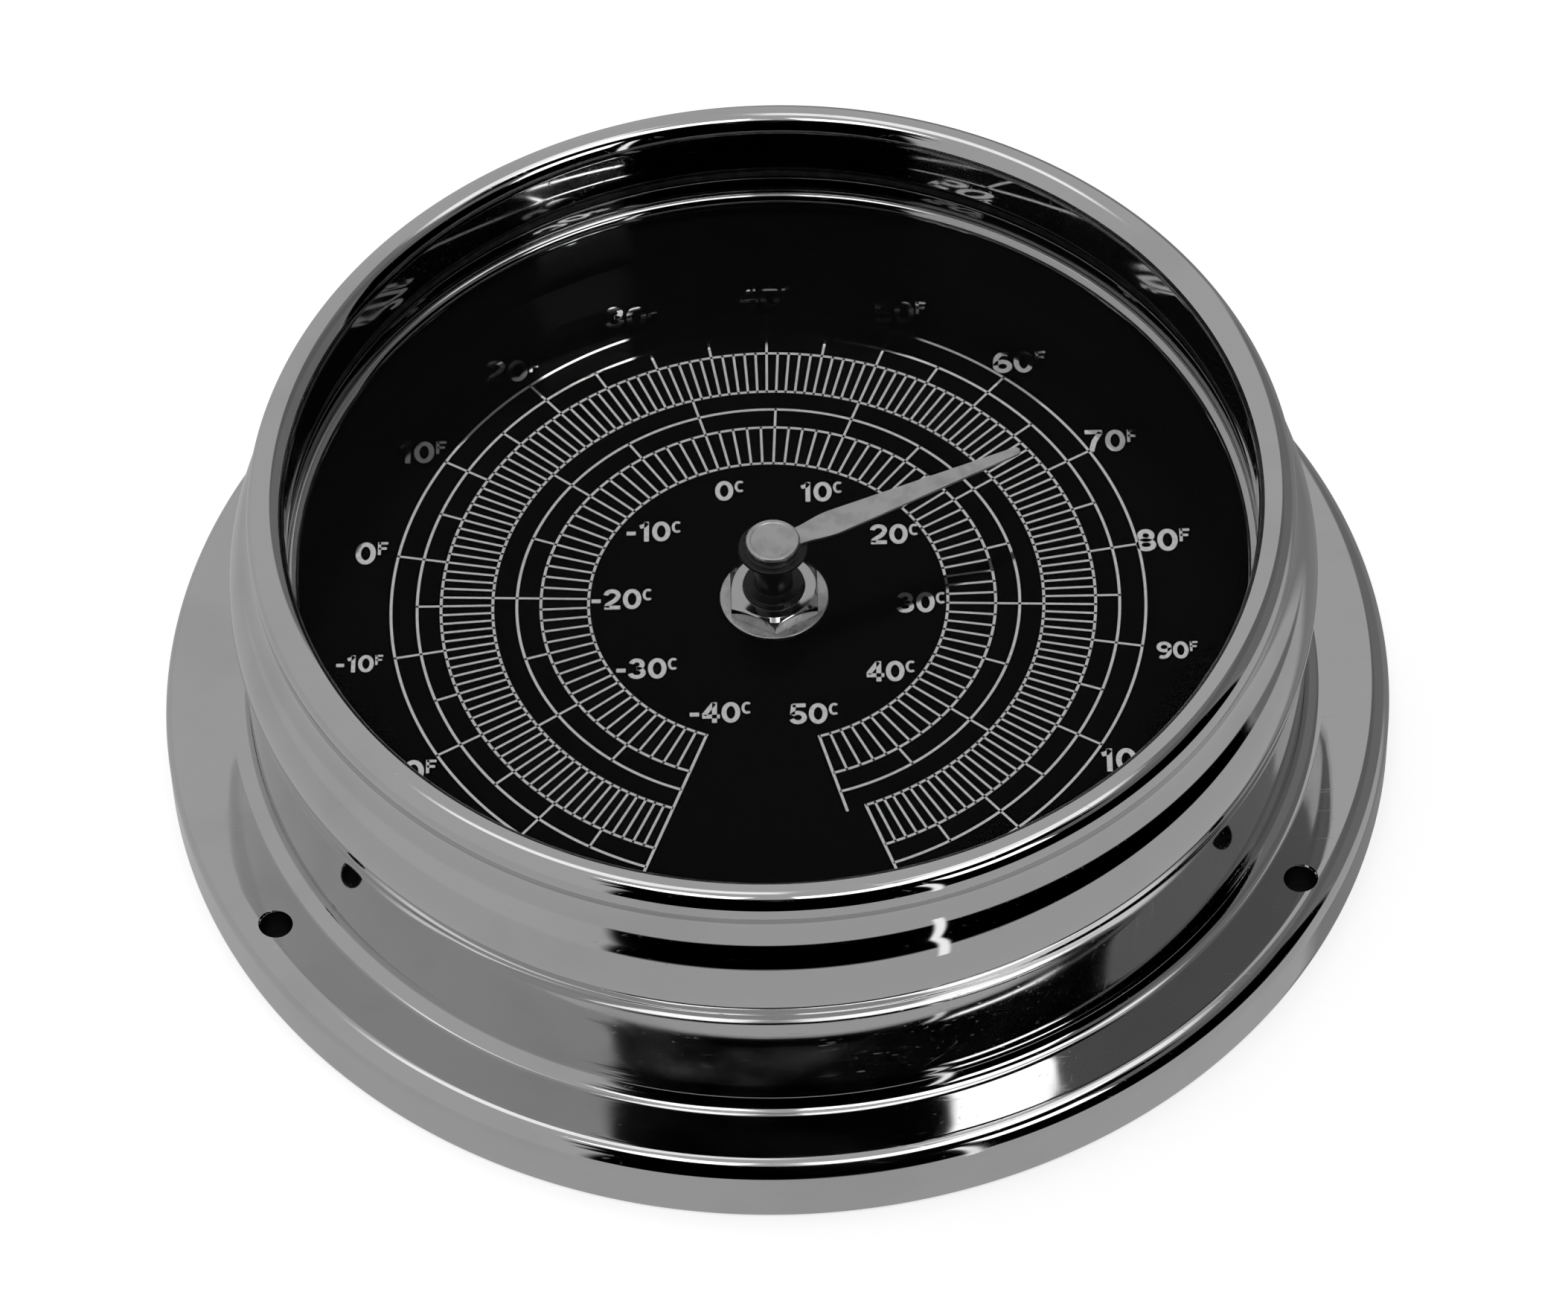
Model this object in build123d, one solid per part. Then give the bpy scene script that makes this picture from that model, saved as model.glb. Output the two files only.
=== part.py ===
from build123d import *
import math
import os

# Dial thermometer for a ship's bulkhead: a chromed brass drum on a screw-down
# flange, a screwed bezel with a flat glass, a printed dial and a bimetal
# movement whose pointer turns with the temperature.
#
# Frame: +Z is the instrument axis and points out through the glass, 12 o'clock
# is towards +Y, and the origin is on the mounting plane under the centre.
# Millimetres throughout.

# ---------------------------------------------------------------- dimensions
CASE_HEIGHT = 58.3

# Flange
FLANGE_R = 100.0
RIM_CORNER_R = 3.6
RIM_CREST_Z = 11.2
FOOT_FILLET_R = 2.9
FOOT_FILLET_Z = 13.5
SCREW_CIRCLE_R = 94.25
SCREW_HOLE_R = 2.5
SCREW_COUNT = 3
SCREW_CLOCKING = 91.0
RELIEF_INNER_R = 86.8
RELIEF_OUTER_R = 96.6
RELIEF_DEPTH = 6.0
SCREW_BOSS_R = 5.5

# Drum
DRUM_R = 86.0
DRUM_SHOULDER_Z = 33.0
DRUM_THREAD_R = 82.2
DRUM_TOP_Z = 41.0
DRUM_BORE_R = 80.2
DRUM_CAVITY_R = 82.0
DIAL_LEDGE_R = 76.0
DIAL_LEDGE_THICKNESS = 3.0
REAR_LEDGE_R = 73.0
REAR_LEDGE_TOP_Z = 6.0
REAR_SEAT_R = 82.0
REAR_SEAT_Z = 2.3

# Bezel
BEAD_CENTRE = (80.3, 55.3)
BEAD_R = CASE_HEIGHT - BEAD_CENTRE[1]
FLANK_CENTRE = (72.6, 39.0)
FLANK_R = 14.6
FOOT_HOLLOW_R = 14.6
SHOULDER_R = 4.6
SHOULDER_START = 27.0
COVE_R = 8.0
BEZEL_FOOT_Z = 33.05
BEZEL_THREAD_R = 82.3
BEZEL_THREAD_TOP_Z = 41.2
GLASS_SEAT_R = 79.2
GLASS_SEAT_Z = 47.6
RING_SEAT_R = 80.1
RING_SEAT_Z = 43.4

# Glass and its packing
GLASS_R = 79.0
GLASS_THICKNESS = 3.0
GLASS_EDGE = 0.4
GASKET_INNER_R = 78.0
RETAINER_OUTER_R = 80.0
RETAINER_INNER_R = 77.6
RETAINER_FOOT_Z = 40.4

# Dial and the ring that holds it down
DIAL_R = 80.0
DIAL_THICKNESS = 1.2
DIAL_FACE_Z = 28.2
SIGHT_RING_R = 80.0
SIGHT_WALL_R = 76.3
SIGHT_BEAD_R = 1.5
SIGHT_TOP_Z = 40.3
SIGHT_FOOT_THICKNESS = 1.0

# Centre fixing: washer, panel nut and threaded bush (M10 fine)
WASHER_R = 8.8
WASHER_THICKNESS = 0.6
NUT_ACROSS_FLATS = 14.0
NUT_THICKNESS = 2.7
BUSH_THREAD_R = 4.95
BUSH_HOLE_R = 5.0
BUSH_HEAD_R = 8.0
BUSH_HEAD_THICKNESS = 2.0
BUSH_TOP_ABOVE_DIAL = 4.1
BUSH_NECK_R = 3.0
BUSH_NECK_TOP_ABOVE_DIAL = 9.5
BEARING_R = 2.0
BEARING_LENGTH = 3.0

# Spindle, hub and pointer
SPINDLE_R = 1.0
RUNNING_CLEARANCE = 0.04
POINTER_ABOVE_DIAL = 13.0
POINTER_THICKNESS = 0.45
POINTER_LENGTH = 44.4
POINTER_NECK_WIDTH = 3.5
POINTER_MAX_WIDTH = 4.9
POINTER_MAX_AT = 10.9
POINTER_TIP_WIDTH = 1.5
HUB_DISC_R = 5.55
HUB_TUBE_R = 2.2
HUB_TUBE_LENGTH = 2.6
CAP_R = 4.45
CAP_THICKNESS = 1.4
CAP_EDGE = 0.25
CAP_BORE_DEPTH = 0.9

# Scale: the angle of a reading, in degrees from 3 o'clock
DEGREES_PER_CELSIUS = 3.6
ZERO_CELSIUS_ANGLE = 106.0
REST_CELSIUS = 22.6

# Movement behind the dial
PLATE_R = 24.0
PLATE_THICKNESS = 1.5
BRIDGE_Z = 7.5
BRIDGE_THICKNESS = 1.8
PILLAR_CIRCLE_R = 20.5
PILLAR_R = 2.0
PILLAR_COUNT = 3
BRIDGE_SCREW_HEAD_R = 2.4
BRIDGE_SCREW_HEAD_THICKNESS = 1.3
BRIDGE_SCREW_R = 1.0
BRIDGE_SCREW_DEPTH = 4.0
COIL_INNER_R = 3.6
COIL_PITCH = 1.5
COIL_TURNS = 7
COIL_STRIP = 0.5
COIL_HEIGHT = 6.0
COIL_Z = 14.5
COLLET_R = 3.4
COLLET_HEIGHT = 7.0

# Zero adjuster, turned from behind through the rear cover
ADJUSTER_R = 3.0
ADJUSTER_HEAD_R = 4.5
ADJUSTER_HEAD_Z = 2.6
ADJUSTER_HEAD_THICKNESS = 4.4
ADJUSTER_TOP_Z = 13.0
ADJUSTER_SLOT_WIDTH = 1.2
ADJUSTER_SLOT_DEPTH = 1.2
ARM_THICKNESS = 1.0
ARM_Z = 10.6
ARM_WIDTH = 5.0
POST_R = 1.2
FRICTION_WASHER_R = 5.5
FRICTION_WASHER_THICKNESS = 0.4
CLIP_R = 4.6
CLIP_THICKNESS = 0.6
REAR_BEARING_R = 2.0
REAR_BEARING_LENGTH = 3.0

# Rear cover
COVER_R = 81.6
COVER_THICKNESS = 1.4
COVER_CENTRE_HOLE_R = 6.0
COVER_SCREW_CIRCLE_R = 76.6
COVER_SCREW_R = 1.5
COVER_SCREW_HEAD_R = 2.6
COVER_SCREW_HEAD_THICKNESS = 0.7
COVER_SCREW_COUNT = 3
COVER_SCREW_CLEARANCE_R = 1.7
VENT_COUNT = 12
VENT_LENGTH = 20.0
VENT_WIDTH = 3.0
VENT_CIRCLE_R = 48.0
SCREW_SLOT_WIDTH = 0.7
SCREW_SLOT_DEPTH = 0.4

# ------------------------------------------------------------ worked-out values
FOOT_HOLLOW_X = DRUM_R + FOOT_HOLLOW_R
FOOT_HOLLOW_Z = FLANK_CENTRE[1] - math.sqrt(
    (FLANK_R + FOOT_HOLLOW_R) ** 2 - (FOOT_HOLLOW_X - FLANK_CENTRE[0]) ** 2
)
FOOT_HOLLOW_CENTRE = (FOOT_HOLLOW_X, FOOT_HOLLOW_Z)
DIAL_BACK_Z = DIAL_FACE_Z - DIAL_THICKNESS
GLASS_BACK_Z = GLASS_SEAT_Z - GLASS_THICKNESS
PLATE_Z = DIAL_BACK_Z - PLATE_THICKNESS
POINTER_Z = DIAL_FACE_Z + POINTER_ABOVE_DIAL
NUT_Z = DIAL_FACE_Z + WASHER_THICKNESS
REST_ANGLE = ZERO_CELSIUS_ANGLE - DEGREES_PER_CELSIUS * REST_CELSIUS
COIL_OUTER_R = COIL_INNER_R + COIL_PITCH * COIL_TURNS
BRIDGE_TOP_Z = BRIDGE_Z + BRIDGE_THICKNESS
SPINDLE_FOOT_Z = ADJUSTER_TOP_Z - REAR_BEARING_LENGTH
COVER_Z = REAR_SEAT_Z - COVER_THICKNESS

# Every ring of the instrument is drawn in the XZ plane, x being the radius,
# and turned about Z.


def ring(section):
    """Turn a closed section in the XZ plane into a full ring."""
    return revolve(section, Axis.Z, 360)


def band(inner, outer, low, high):
    """Ring of rectangular section; inner = 0 gives a disc."""
    corners = [(inner, low), (outer, low), (outer, high), (inner, high)]
    return ring(make_face(Plane.XZ * Polyline(*corners, close=True)))


def around(piece, count, radius, start):
    """Copies of a piece on a circle about Z, the first at angle start."""
    return [
        Rot(0, 0, start + i * 360 / count) * Pos(radius, 0, 0) * piece
        for i in range(count)
    ]


def slotted_screw(head_r, head_t, shank_r, shank_length):
    """Pan-head screw, head down from z = 0 and shank up."""
    screw = Pos(0, 0, -head_t / 2) * Cylinder(head_r, head_t)
    screw += Pos(0, 0, shank_length / 2) * Cylinder(shank_r, shank_length)
    slot = Pos(0, 0, -head_t) * Box(3 * head_r, SCREW_SLOT_WIDTH, 2 * SCREW_SLOT_DEPTH)
    return screw - slot


def on_arc(centre, radius, degrees):
    """Point of a circle in a section."""
    angle = math.radians(degrees)
    return (
        centre[0] + radius * math.cos(angle),
        centre[1] + radius * math.sin(angle),
    )


def arc(centre, radius, first, last):
    """Arc of a circle in a section, from one angle to another."""
    return ThreePointArc(
        on_arc(centre, radius, first),
        on_arc(centre, radius, (first + last) / 2),
        on_arc(centre, radius, last),
    )


def heading(origin, target):
    """Angle of the line from one point of a section to another."""
    return math.degrees(math.atan2(target[1] - origin[1], target[0] - origin[0]))


def hollow(first, first_r, last, last_r, radius):
    """Centre of the hollow that runs on smoothly from one round to the next.

    It touches both circles from outside, so it lies where circles about their
    centres, each larger by its radius, cross on the right of first to last.
    """
    dx = last[0] - first[0]
    dz = last[1] - first[1]
    apart = math.hypot(dx, dz)
    reach = first_r + radius
    along = (apart**2 + reach**2 - (last_r + radius) ** 2) / (2 * apart)
    aside = math.sqrt(reach**2 - along**2)
    return (
        first[0] + (along * dx + aside * dz) / apart,
        first[1] + (along * dz - aside * dx) / apart,
    )


# --------------------------------------------------------------------- case
def flange_outline():
    """Top of the flange: rounded rim, sloping face and a fillet up to the drum."""
    rim = (FLANGE_R - RIM_CORNER_R, RIM_CREST_Z - RIM_CORNER_R)
    fillet = (DRUM_R + FOOT_FILLET_R, FOOT_FILLET_Z)
    lean = math.acos((RIM_CORNER_R + FOOT_FILLET_R) / math.dist(rim, fillet))
    normal = heading(rim, fillet) - math.degrees(lean)
    return [
        arc(rim, RIM_CORNER_R, 0, normal),
        Line(on_arc(rim, RIM_CORNER_R, normal), on_arc(fillet, FOOT_FILLET_R, normal - 180)),
        arc(fillet, FOOT_FILLET_R, normal - 180, -180),
    ]


def foot_hollow_angle(height):
    """Angle on the hollow, about its centre, at a height above the base."""
    return 180 - math.degrees(math.asin((height - FOOT_HOLLOW_Z) / FOOT_HOLLOW_R))


def case_body():
    """Flange and drum in one: cast brass, turned and chromed."""
    top = flange_outline()
    flare = arc(FOOT_HOLLOW_CENTRE, FOOT_HOLLOW_R, 180, foot_hollow_angle(DRUM_SHOULDER_Z))
    outline = [
        Line((FLANGE_R, 0), top[0] @ 0),
        *top,
        Line(top[-1] @ 1, flare @ 0),
        flare,
        Polyline(
            flare @ 1,
            (DRUM_THREAD_R, DRUM_SHOULDER_Z),
            (DRUM_THREAD_R, DRUM_TOP_Z),
            (DRUM_BORE_R, DRUM_TOP_Z),
            (DRUM_BORE_R, DIAL_BACK_Z),
            (DIAL_LEDGE_R, DIAL_BACK_Z),
            (DIAL_LEDGE_R, DIAL_BACK_Z - DIAL_LEDGE_THICKNESS),
            (DRUM_CAVITY_R, DIAL_BACK_Z - DIAL_LEDGE_THICKNESS),
            (DRUM_CAVITY_R, REAR_LEDGE_TOP_Z),
            (REAR_LEDGE_R, REAR_LEDGE_TOP_Z),
            (REAR_LEDGE_R, REAR_SEAT_Z),
            (REAR_SEAT_R, REAR_SEAT_Z),
            (REAR_SEAT_R, 0),
            (FLANGE_R, 0),
        ),
    ]
    body = ring(make_face(Plane.XZ * Curve(outline)))
    body -= band(RELIEF_INNER_R, RELIEF_OUTER_R, -1, RELIEF_DEPTH)
    boss_height = RELIEF_DEPTH + 1
    boss = Pos(0, 0, boss_height / 2) * Cylinder(SCREW_BOSS_R, boss_height)
    allowed = band(RELIEF_INNER_R - 1, RELIEF_OUTER_R + 1, 0, boss_height)
    for one in around(boss, SCREW_COUNT, SCREW_CIRCLE_R, SCREW_CLOCKING):
        body += one & allowed
    hole = Pos(0, 0, 10) * Cylinder(SCREW_HOLE_R, 24)
    for one in around(hole, SCREW_COUNT, SCREW_CIRCLE_R, SCREW_CLOCKING):
        body -= one
    tapped = Pos(0, 0, REAR_SEAT_Z + 1.2) * Cylinder(COVER_SCREW_R, 2.6)
    for one in around(tapped, COVER_SCREW_COUNT, COVER_SCREW_CIRCLE_R, 90):
        body -= one
    return body


def bezel_outline():
    """Outer curve of the bezel, from the foot up over the bead to its bore.

    The foot is part of the hollow that runs smoothly from the drum's wall to
    the flank, so the joint between the two shows no step.
    """
    shoulder = on_arc(FLANK_CENTRE, FLANK_R - SHOULDER_R, SHOULDER_START)
    cove = hollow(shoulder, SHOULDER_R, BEAD_CENTRE, BEAD_R, COVE_R)
    to_cove = heading(shoulder, cove)
    from_bead = heading(BEAD_CENTRE, cove)
    to_hollow = heading(FLANK_CENTRE, FOOT_HOLLOW_CENTRE)
    foot = foot_hollow_angle(BEZEL_FOOT_Z)
    return [
        arc(FOOT_HOLLOW_CENTRE, FOOT_HOLLOW_R, foot, 180 + to_hollow),
        arc(FLANK_CENTRE, FLANK_R, to_hollow, SHOULDER_START),
        arc(shoulder, SHOULDER_R, SHOULDER_START, to_cove),
        arc(cove, COVE_R, 180 + to_cove, 180 + from_bead),
        arc(BEAD_CENTRE, BEAD_R, from_bead, 180),
    ]


def bezel_ring():
    """Screwed bezel: flank, shoulder, cove and bead, with steps inside for the glass."""
    curve = bezel_outline()
    foot = curve[0] @ 0
    inside = Polyline(
        curve[-1] @ 1,
        (BEAD_CENTRE[0] - BEAD_R, GLASS_SEAT_Z),
        (GLASS_SEAT_R, GLASS_SEAT_Z),
        (GLASS_SEAT_R, RING_SEAT_Z),
        (RING_SEAT_R, RING_SEAT_Z),
        (RING_SEAT_R, BEZEL_THREAD_TOP_Z),
        (BEZEL_THREAD_R, BEZEL_THREAD_TOP_Z),
        (BEZEL_THREAD_R, BEZEL_FOOT_Z),
        foot,
    )
    return ring(make_face(Plane.XZ * Curve([*curve, inside])))


def glass():
    """Flat mineral glass with ground edges."""
    pane = band(0, GLASS_R, GLASS_BACK_Z, GLASS_SEAT_Z)
    return chamfer(pane.edges(), GLASS_EDGE)


def glass_gasket():
    """Rubber ring under the glass."""
    return band(GASKET_INNER_R, GLASS_R, RING_SEAT_Z, GLASS_BACK_Z)


def glass_retaining_ring():
    """Ring that holds the gasket and glass in the bezel."""
    return band(RETAINER_INNER_R, RETAINER_OUTER_R, RETAINER_FOOT_Z, RING_SEAT_Z)


def sight_ring():
    """Polished ring with a rolled top bead, from the dial up towards the glass."""
    bead_z = SIGHT_TOP_Z - SIGHT_BEAD_R
    bead_r = SIGHT_WALL_R + SIGHT_BEAD_R - 0.3
    wall_outer = SIGHT_WALL_R + 1.2
    piece = band(SIGHT_WALL_R, SIGHT_RING_R, DIAL_FACE_Z, DIAL_FACE_Z + SIGHT_FOOT_THICKNESS)
    piece += band(SIGHT_WALL_R, wall_outer, DIAL_FACE_Z, bead_z)
    bead = Plane.XZ * Pos(bead_r, bead_z) * Circle(SIGHT_BEAD_R)
    piece += ring(bead)
    piece += band(bead_r, SIGHT_RING_R, bead_z - 1.0, SIGHT_TOP_Z)
    return piece


# --------------------------------------------------------------------- dial
def dial_plate():
    """Black printed disc."""
    return band(BUSH_HOLE_R, DIAL_R, DIAL_BACK_Z, DIAL_FACE_Z)


def nut_washer():
    """Thin plain washer under the nut."""
    return band(BUSH_HOLE_R, WASHER_R, DIAL_FACE_Z, NUT_Z)


def hex_nut():
    """Thin panel nut with its corners turned off at the top."""
    corner_r = NUT_ACROSS_FLATS / math.sqrt(3)
    hexagon = Rot(0, 0, 30) * RegularPolygon(corner_r, 6)
    nut = Pos(0, 0, NUT_Z) * extrude(hexagon, NUT_THICKNESS)
    crown_height = 2 * NUT_THICKNESS
    flat_r = NUT_ACROSS_FLATS / 2 - 0.3
    slope = math.tan(math.radians(30))
    crown = Pos(0, 0, NUT_Z + NUT_THICKNESS - crown_height / 2) * Cone(
        flat_r + crown_height / slope, flat_r, crown_height
    )
    bore = band(0, BUSH_HOLE_R, NUT_Z - 1, NUT_Z + NUT_THICKNESS + 1)
    return (nut & crown) - bore


def threaded_bush():
    """Blackened bush that fixes the movement to the dial and holds the spindle."""
    neck_top = DIAL_FACE_Z + BUSH_NECK_TOP_ABOVE_DIAL
    shoulder = DIAL_FACE_Z + BUSH_TOP_ABOVE_DIAL
    head_z = PLATE_Z - BUSH_HEAD_THICKNESS
    bush = band(0, BUSH_HEAD_R, head_z, PLATE_Z)
    bush += band(0, BUSH_THREAD_R, head_z, shoulder)
    bush += band(0, BUSH_NECK_R, shoulder, neck_top)
    bush -= band(0, BEARING_R, neck_top - BEARING_LENGTH, neck_top + 1)
    bush -= band(0, SPINDLE_R + 0.4, head_z - 1, neck_top)
    return bush


def front_bearing():
    """Bearing bush at the top of the threaded bush."""
    top = DIAL_FACE_Z + BUSH_NECK_TOP_ABOVE_DIAL
    return band(SPINDLE_R + RUNNING_CLEARANCE, BEARING_R, top - BEARING_LENGTH, top)


# ------------------------------------------------------- spindle and pointer
def pointer_spindle():
    """Steel spindle from the rear bearing to the cap."""
    top = POINTER_Z + POINTER_THICKNESS + CAP_BORE_DEPTH
    return band(0, SPINDLE_R, SPINDLE_FOOT_Z + 0.3, top)


def pointer_hub():
    """Disc and short tube that carry the blade."""
    disc_z = POINTER_Z - 0.6
    hub = band(SPINDLE_R, HUB_DISC_R, disc_z, POINTER_Z)
    hub += band(SPINDLE_R, HUB_TUBE_R, disc_z - HUB_TUBE_LENGTH, disc_z)
    return hub


def pointer_blade():
    """Lance-shaped blade with a round eye, at the resting reading."""
    half_neck = POINTER_NECK_WIDTH / 2
    half_max = POINTER_MAX_WIDTH / 2
    half_tip = POINTER_TIP_WIDTH / 2
    tip_x = POINTER_LENGTH - half_tip
    upper = Spline(
        (0, half_neck),
        (POINTER_MAX_AT * 0.5, half_neck),
        (POINTER_MAX_AT, half_max),
        tangents=[(1, 0), (1, 0)],
    )
    taper = Line((POINTER_MAX_AT, half_max), (tip_x, half_tip))
    tip = ThreePointArc((tip_x, half_tip), (POINTER_LENGTH, 0), (tip_x, -half_tip))
    edge = Curve([upper, taper])
    outline = Curve([edge, tip, mirror(edge, Plane.XZ), Line((0, half_neck), (0, -half_neck))])
    blade = extrude(make_face(outline), POINTER_THICKNESS)
    blade += Pos(0, 0, POINTER_THICKNESS / 2) * Cylinder(CAP_R, POINTER_THICKNESS)
    blade -= Cylinder(SPINDLE_R, 4 * POINTER_THICKNESS)
    return Pos(0, 0, POINTER_Z) * Rot(0, 0, REST_ANGLE) * blade


def hub_cap():
    """Turned cap pressed on the spindle over the blade."""
    foot = POINTER_Z + POINTER_THICKNESS
    cap = band(0, CAP_R, foot, foot + CAP_THICKNESS)
    cap = chamfer(cap.edges().group_by(Axis.Z)[-1], CAP_EDGE)
    return cap - band(0, SPINDLE_R, foot - 1, foot + CAP_BORE_DEPTH)


# ----------------------------------------------------------------- movement
def movement_plate():
    """Brass plate clamped between the bush's head and the dial."""
    return band(BUSH_HOLE_R, PLATE_R, PLATE_Z, DIAL_BACK_Z)


def bridge_pillars():
    """Turned pillars between the plate and the bridge."""
    height = PLATE_Z - BRIDGE_TOP_Z
    pillar = Pos(0, 0, BRIDGE_TOP_Z + height / 2) * Cylinder(PILLAR_R, height)
    pillar -= Pos(0, 0, BRIDGE_TOP_Z) * Cylinder(BRIDGE_SCREW_R, 2 * BRIDGE_SCREW_DEPTH)
    return around(pillar, PILLAR_COUNT, PILLAR_CIRCLE_R, 90)


def movement_bridge():
    """Three-armed rear plate that carries the zero adjuster."""
    bridge = band(0, ADJUSTER_R + 4.0, BRIDGE_Z, BRIDGE_TOP_Z)
    arm = Pos(PILLAR_CIRCLE_R / 2, 0, BRIDGE_Z + BRIDGE_THICKNESS / 2) * Box(
        PILLAR_CIRCLE_R, 2 * PILLAR_R + 2, BRIDGE_THICKNESS
    )
    for one in around(arm, PILLAR_COUNT, 0, 90):
        bridge += one
    eye = Pos(0, 0, BRIDGE_Z + BRIDGE_THICKNESS / 2) * Cylinder(PILLAR_R + 1, BRIDGE_THICKNESS)
    for one in around(eye, PILLAR_COUNT, PILLAR_CIRCLE_R, 90):
        bridge += one
    hole = Pos(0, 0, BRIDGE_Z) * Cylinder(BRIDGE_SCREW_R, 3 * BRIDGE_THICKNESS)
    for one in around(hole, PILLAR_COUNT, PILLAR_CIRCLE_R, 90):
        bridge -= one
    return bridge - band(0, ADJUSTER_R + RUNNING_CLEARANCE, BRIDGE_Z - 1, BRIDGE_TOP_Z + 1)


def bridge_screws():
    """Screws that hold the bridge to its pillars."""
    shank = BRIDGE_THICKNESS + BRIDGE_SCREW_DEPTH - 0.5
    screw = slotted_screw(BRIDGE_SCREW_HEAD_R, BRIDGE_SCREW_HEAD_THICKNESS, BRIDGE_SCREW_R, shank)
    return around(Pos(0, 0, BRIDGE_Z) * screw, PILLAR_COUNT, PILLAR_CIRCLE_R, 90)


def spiral(radius, half_turns):
    """Flat spiral as half circles, each a quarter pitch further out than the last."""
    arcs = []
    x_start = radius
    side = 1
    for _ in range(half_turns):
        span = abs(x_start) * 2 + COIL_PITCH / 2
        x_end = x_start - side * span
        middle = ((x_start + x_end) / 2, side * span / 2)
        arcs.append(ThreePointArc((x_start, 0), middle, (x_end, 0)))
        x_start = x_end
        side = -side
    return arcs


def bimetal_coil():
    """Spiral bimetal strip, its inner end on the collet and its outer at the post."""
    inner = spiral(COIL_INNER_R, 2 * COIL_TURNS)
    outer = spiral(COIL_INNER_R + COIL_STRIP, 2 * COIL_TURNS)
    ends = [Line(inner[0] @ 0, outer[0] @ 0), Line(inner[-1] @ 1, outer[-1] @ 1)]
    strip = extrude(make_face(Curve([*inner, *outer, *ends])), COIL_HEIGHT)
    tab_length = COIL_INNER_R + COIL_STRIP / 2 - COLLET_R + 0.2
    tab = Pos(COLLET_R - 0.2 + tab_length / 2, 0.4, COIL_HEIGHT / 2) * Box(
        tab_length, 0.8, COIL_HEIGHT
    )
    collet = Cylinder(COLLET_R, 4 * COIL_HEIGHT)
    return Pos(0, 0, COIL_Z) * (strip + tab - collet)


def coil_collet():
    """Brass collet that joins the coil to the spindle."""
    return band(SPINDLE_R, COLLET_R, COIL_Z - 0.5, COIL_Z - 0.5 + COLLET_HEIGHT)


# ------------------------------------------------------------- zero adjuster
def adjuster_shaft():
    """Slotted shaft through the bridge, with the rear bearing in its end."""
    head_top = ADJUSTER_HEAD_Z + ADJUSTER_HEAD_THICKNESS
    shaft = band(0, ADJUSTER_HEAD_R, ADJUSTER_HEAD_Z, head_top)
    shaft += band(0, ADJUSTER_R, head_top, ADJUSTER_TOP_Z)
    shaft -= Pos(0, 0, ADJUSTER_HEAD_Z) * Box(
        3 * ADJUSTER_HEAD_R, ADJUSTER_SLOT_WIDTH, 2 * ADJUSTER_SLOT_DEPTH
    )
    return shaft - band(0, REAR_BEARING_R, SPINDLE_FOOT_Z, ADJUSTER_TOP_Z + 1)


def rear_bearing():
    """Bearing bush in the end of the adjuster shaft."""
    return band(
        SPINDLE_R + RUNNING_CLEARANCE, REAR_BEARING_R, SPINDLE_FOOT_Z, ADJUSTER_TOP_Z
    )


def friction_washer():
    """Spring washer that keeps the adjuster where it is set."""
    top = BRIDGE_Z
    return band(
        ADJUSTER_R + RUNNING_CLEARANCE,
        FRICTION_WASHER_R,
        top - FRICTION_WASHER_THICKNESS,
        top,
    )


def adjuster_arm():
    """Arm on the adjuster shaft, reaching out past the coil."""
    reach = COIL_OUTER_R + 2 * POST_R
    arm = Pos(reach / 2, 0, ARM_Z + ARM_THICKNESS / 2) * Box(reach, ARM_WIDTH, ARM_THICKNESS)
    arm += band(0, ADJUSTER_R + 2.0, ARM_Z, ARM_Z + ARM_THICKNESS)
    arm += Pos(reach, 0, ARM_Z + ARM_THICKNESS / 2) * Cylinder(ARM_WIDTH / 2, ARM_THICKNESS)
    return arm - band(0, ADJUSTER_R, ARM_Z - 1, ARM_Z + ARM_THICKNESS + 1)


def anchor_post():
    """Post on the arm that holds the coil's outer end."""
    x = COIL_OUTER_R + COIL_STRIP + POST_R + 0.1
    low = ARM_Z + ARM_THICKNESS
    height = COIL_Z + COIL_HEIGHT + 0.5 - low
    return Pos(x, 0, low + height / 2) * Cylinder(POST_R, height)


def adjuster_clip():
    """Clip that keeps the adjuster shaft in the bridge."""
    low = BRIDGE_TOP_Z + 0.1
    return band(ADJUSTER_R, CLIP_R, low, low + CLIP_THICKNESS)


# --------------------------------------------------------------- rear cover
def rear_cover():
    """Pressed rear cover with vent slots that let the room's air to the coil."""
    middle = COVER_Z + COVER_THICKNESS / 2
    cover = band(COVER_CENTRE_HOLE_R, COVER_R, COVER_Z, REAR_SEAT_Z)
    vent = Pos(0, 0, middle) * extrude(
        SlotOverall(VENT_LENGTH, VENT_WIDTH), COVER_THICKNESS, both=True
    )
    for one in around(vent, VENT_COUNT, VENT_CIRCLE_R, 0):
        cover -= one
    hole = Pos(0, 0, middle) * Cylinder(COVER_SCREW_CLEARANCE_R, 2 * COVER_THICKNESS)
    for one in around(hole, COVER_SCREW_COUNT, COVER_SCREW_CIRCLE_R, 90):
        cover -= one
    return cover


def rear_cover_screws():
    """Screws of the rear cover, heads inside the mounting plane."""
    screw = slotted_screw(
        COVER_SCREW_HEAD_R, COVER_SCREW_HEAD_THICKNESS, COVER_SCREW_R, COVER_THICKNESS + 2.0
    )
    return around(Pos(0, 0, COVER_Z) * screw, COVER_SCREW_COUNT, COVER_SCREW_CIRCLE_R, 90)


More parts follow.
